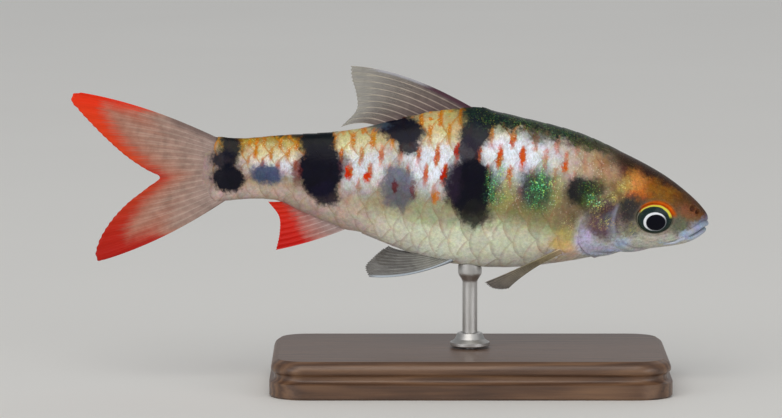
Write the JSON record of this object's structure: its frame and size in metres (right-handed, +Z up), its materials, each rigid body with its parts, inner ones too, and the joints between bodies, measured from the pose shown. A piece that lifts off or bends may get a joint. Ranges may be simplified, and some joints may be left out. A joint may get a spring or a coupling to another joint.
{
  "type": "life-size model of a young arulius-group filament barb on a display stand",
  "caption": "Slender freshwater barb with a forked tail, swept dorsal fin and dark flank blotches, held level on a short rod above a low wooden plinth.",
  "frame": {"origin": "middle of the plinth's underside, straight below the rod", "axes": "+X towards the snout, +Z up; the right flank faces -Y"},
  "size_m": [0.1023, 0.038, 0.0514],
  "materials": {
    "head_skin": "painted resin under gloss varnish, olive brown above and silver below",
    "flank_scales": "painted resin scales, silver with black blotches and red flecks, gloss varnish",
    "gill_cover": "painted resin, mauve and pale blue with a pearl gloss",
    "eye": "clear polished over a dark painted iris",
    "fin": "translucent resin with raised rays",
    "red_fin": "translucent red resin with raised rays",
    "plinth_wood": "dark walnut, satin varnish",
    "rod_steel": "turned and brushed"
  },
  "bodies": {
    "root": {"head": "head_skin", "lower_jaw": "head_skin", "torso": "flank_scales", "tail": "flank_scales", "gill_cover_right": "gill_cover", "gill_cover_left": "gill_cover", "eye_right": "eye", "eye_left": "eye", "barbel_right": "head_skin", "barbel_left": "head_skin", "dorsal_fin": "fin", "anal_fin": "red_fin", "tail_lobe_upper": "red_fin", "tail_lobe_lower": "red_fin", "pectoral_fin_right": "fin", "pectoral_fin_left": "fin", "pelvic_fin_right": "fin", "pelvic_fin_left": "fin", "stand_base": "plinth_wood", "stand_collar": "rod_steel", "stand_rod": "rod_steel"}
  },
  "joints": []
}
